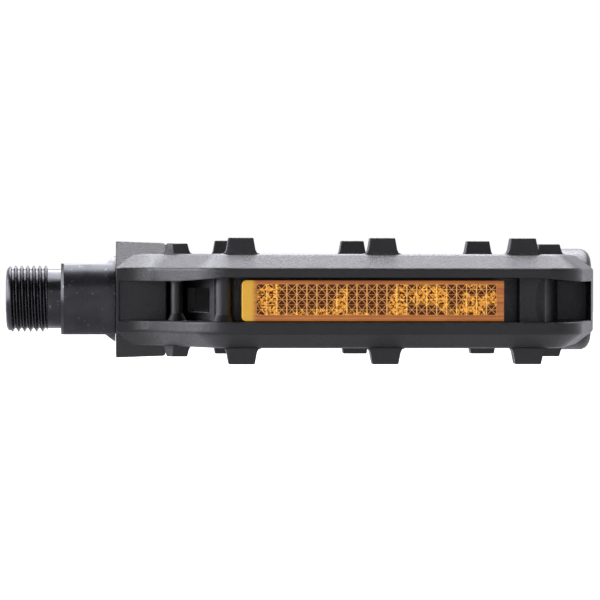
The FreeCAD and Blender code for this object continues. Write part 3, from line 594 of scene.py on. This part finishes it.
def press_prisms(bm):
    """Sinks the field, cuts it into cells and presses each one in to a six-sided point."""
    for x in FIELD_X:
        slice_front(bm, (x, 0, 0), (1, 0, 0))
    for z in FIELD_Z:
        slice_front(bm, (0, 0, z), (0, 0, 1))
    field = faces_in_field(bm)
    sunk = bmesh.ops.extrude_face_region(bm, geom=field)
    verts = [g for g in sunk["geom"] if isinstance(g, bmesh.types.BMVert)]
    bmesh.ops.translate(bm, verts=verts, vec=(0, FIELD_DROP * MM, 0))
    bmesh.ops.delete(bm, geom=field, context="FACES_ONLY")
    for i in range(1, COLUMNS):
        border = FIELD_X[0] + (FIELD_X[1] - FIELD_X[0]) * i / COLUMNS
        slice_front(bm, (border - COLUMN_RIDGE, 0, 0), (1, 0, 0))
        slice_front(bm, (border + COLUMN_RIDGE, 0, 0), (1, 0, 0))
    for i in range(1, ROWS):
        slice_front(bm, (0, 0, FIELD_Z[0] + (FIELD_Z[1] - FIELD_Z[0]) * i / ROWS), (0, 0, 1))
    cells = [f for f in faces_in_field(bm) if f.calc_area() > MIN_CELL * MM * MM]
    height = (FIELD_Z[1] - FIELD_Z[0]) / ROWS * MM
    sides = {e for f in cells for e in f.edges
             if abs(abs(e.verts[0].co.z - e.verts[1].co.z) - height) < NEAR * MM}
    for edge in sides:
        bmesh.utils.edge_split(edge, edge.verts[0], 0.5)
    pressed = bmesh.ops.poke(bm, faces=cells, offset=-PRISM_DEPTH * MM, center_mode="MEAN_WEIGHTED")
    facets = pressed["faces"]
    bmesh.ops.inset_individual(bm, faces=facets, thickness=RIDGE * MM, depth=-RIDGE_RISE * MM,
                               use_even_offset=True)
    inner = set(facets)
    for face in bm.faces:
        centre = face.calc_center_median() / MM
        sunk_in = centre.y > FACE_Y + FIELD_DROP * 0.9 and centre.y < FACE_Y + FRONT_ZONE
        if face in inner:
            face.material_index = FACET
        elif sunk_in and face.normal.y < -0.3:
            face.material_index = LINE
    return len(cells), len(facets)


# %% [markdown]
# In real amber the colour comes from depth. Here the orange of the thick clear borders is their own
# colour, glowing by a painted emission; ridges are painted nearly yellow and glowing, as if sending
# light straight back, and facets are painted brown, as if looking into the dark tray. Patches where
# the prisms catch the light are painted brighter. The end nearest the crank is a plain strip painted
# lit yellow.

# %% Amber finishes
PAINTED_LIT_SPAN = (0.0382, 0.0395)  # the lit strip fades into the orange between these, in metres
# Painted highlight: the yellow painted on the lit strip.
PAINTED_LIT_YELLOW = (0.72, 0.39, 0.028, 1)


def amber_border():
    """Clear border glowing by a painted emission, painted lit yellow towards the inboard end and orange
    elsewhere.
    """
    material, tree, shader = principled("amber_lens", {"Roughness": 0.22, "Coat Weight": 0.4,
                                                       "Coat Roughness": 0.05,
                                                       "Specular IOR Level": 0.4})
    place = add(tree, "ShaderNodeTexCoord").outputs["Object"]
    axes = add(tree, "ShaderNodeSeparateXYZ", links={"Vector": place}).outputs
    streaks = add(tree, "ShaderNodeTexNoise", {"noise_dimensions": "1D"}, {"Scale": 1400.0, "Detail": 2.0},
                  {"W": axes["Z"]}).outputs["Fac"]
    drift = add(tree, "ShaderNodeTexNoise", values={"Scale": 70.0, "Detail": 2.0},
                links={"Vector": place}).outputs["Fac"]
    orange = two_tone(tree, steps(tree, streaks, 0.3, 0.7), (0.37, 0.105, 0.012), (0.57, 0.195, 0.026))
    # Painted lit strip: the inboard end of the border is painted yellow as if lit, fading into the orange.
    painted_lit_strip_mask = steps(tree, axes["X"], *PAINTED_LIT_SPAN, 1.0, 0.0)
    orange_and_lit_strip = add(tree, "ShaderNodeMix", {"data_type": "RGBA"}, links={"Factor": painted_lit_strip_mask})
    tree.links.new(orange, orange_and_lit_strip.inputs[6])
    orange_and_lit_strip.inputs[7].default_value = PAINTED_LIT_YELLOW
    shade = add(tree, "ShaderNodeMix", {"data_type": "RGBA", "blend_type": "MULTIPLY"}, {"Factor": 1.0})
    tree.links.new(orange_and_lit_strip.outputs[2], shade.inputs[6])
    cloud = two_tone(tree, steps(tree, drift, 0.35, 0.65), (0.8, 0.75, 0.7), (1, 1, 1))
    tree.links.new(cloud, shade.inputs[7])
    tree.links.new(shade.outputs[2], shader.inputs["Base Color"])
    # Painted light: the border emits its own colour, glowing though it is no lamp.
    tree.links.new(shade.outputs[2], shader.inputs["Emission Color"])
    shader.inputs["Emission Strength"].default_value = 0.22
    return material


def amber_prism(name, dull, lit, painted_glow, patch):
    """Facet or ridge colour, glowing by a painted emission: painted dull in most places and painted lit
    where a patch of prisms catches the light.
    """
    material, tree, shader = principled(name, {"Roughness": 0.2, "Specular IOR Level": 0.2,
                                               "Specular Tint": (1.0, 0.62, 0.30, 1)})
    place = add(tree, "ShaderNodeTexCoord").outputs["Object"]
    patches = add(tree, "ShaderNodeTexNoise", values={"Scale": 150.0, "Detail": 1.0, "Distortion": 0.6},
                  links={"Vector": place}).outputs["Fac"]
    flecks = add(tree, "ShaderNodeTexNoise", values={"Scale": 2300.0, "Detail": 1.0},
                 links={"Vector": place}).outputs["Fac"]
    # Painted highlight: flecks in patches are painted lit, as if the prisms caught the light there.
    in_patch = steps(tree, patches, patch, patch + 0.08)
    bright = maths(tree, "MULTIPLY", in_patch, steps(tree, flecks, 0.42, 0.56))
    colour = two_tone(tree, bright, dull, lit)
    tree.links.new(colour, shader.inputs["Base Color"])
    tree.links.new(colour, shader.inputs["Emission Color"])
    # Painted light: the colour is emitted as well, glowing though it is no lamp.
    shader.inputs["Emission Strength"].default_value = painted_glow
    return material


# Each prism finish: painted dull colour, painted lit colour, strength of its painted emission, and where
# its painted lit patches begin.
amber = [amber_border(),
         amber_prism("amber_ridge", (0.62, 0.30, 0.10), (0.95, 0.52, 0.10), 0.42, 0.46),
         amber_prism("amber_facet", (0.075, 0.019, 0.006), (0.72, 0.30, 0.040), 0.30, 0.485)]
print("amber:", [material.name for material in amber])


# %% [markdown]
# A pedal carries the same reflector on both edges, so the front one is the rear one turned half a
# turn about the spindle. The turn is made in the mesh, which leaves the object itself unturned.

# %% Reflectors
def rear_lens():
    """Mesh of the rear reflector's lens."""
    bm = bmesh.new()
    lens_block(bm)
    cells, facets = press_prisms(bm)
    bmesh.ops.recalc_face_normals(bm, faces=bm.faces)
    print("prism cells:", cells, "facets:", facets, "faces:", len(bm.faces))
    return bm


def front_lens():
    """The same lens turned half a turn about the spindle for the front edge."""
    bm = rear_lens()
    bmesh.ops.transform(bm, matrix=Matrix.Rotation(math.pi, 4, "X"), verts=bm.verts)
    return bm


for side, made in (("rear", rear_lens()), ("front", front_lens())):
    lens = piece_from(made, side + "_reflector", amber, "platform")
    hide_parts(side + "_reflector_lens")

# %% [markdown]
# The camera stands well back at the level of the spindle, turned a little outboard, with a long
# lens, so that the edge of the pedal fills the width of the picture. A nearer camera with a shorter
# lens would make the far teeth look much smaller than the near ones.

# %% Camera
FOCAL = 171.85
SENSOR = 36.0
CAMERA_PLACE = (8.7475 * MM, -611.416 * MM, 7.174 * MM)
YAW = 0.06882
PITCH = -0.01207
ROLL = -0.00166
camera_data = bpy.data.cameras.new("camera")
camera_data.sensor_width = SENSOR
camera_data.lens = FOCAL
camera = bpy.data.objects.new("camera", camera_data)
scene.collection.objects.link(camera)
camera.matrix_world = (Matrix.Translation(CAMERA_PLACE)
                       @ Matrix.Rotation(-YAW, 4, "Z") @ Matrix.Rotation(math.pi / 2 + PITCH, 4, "X")
                       @ Matrix.Rotation(-ROLL, 4, "Z"))
camera_data.clip_start = 0.01
scene.camera = camera
print("camera to spindle, mm:", round(-CAMERA_PLACE[1] / MM))
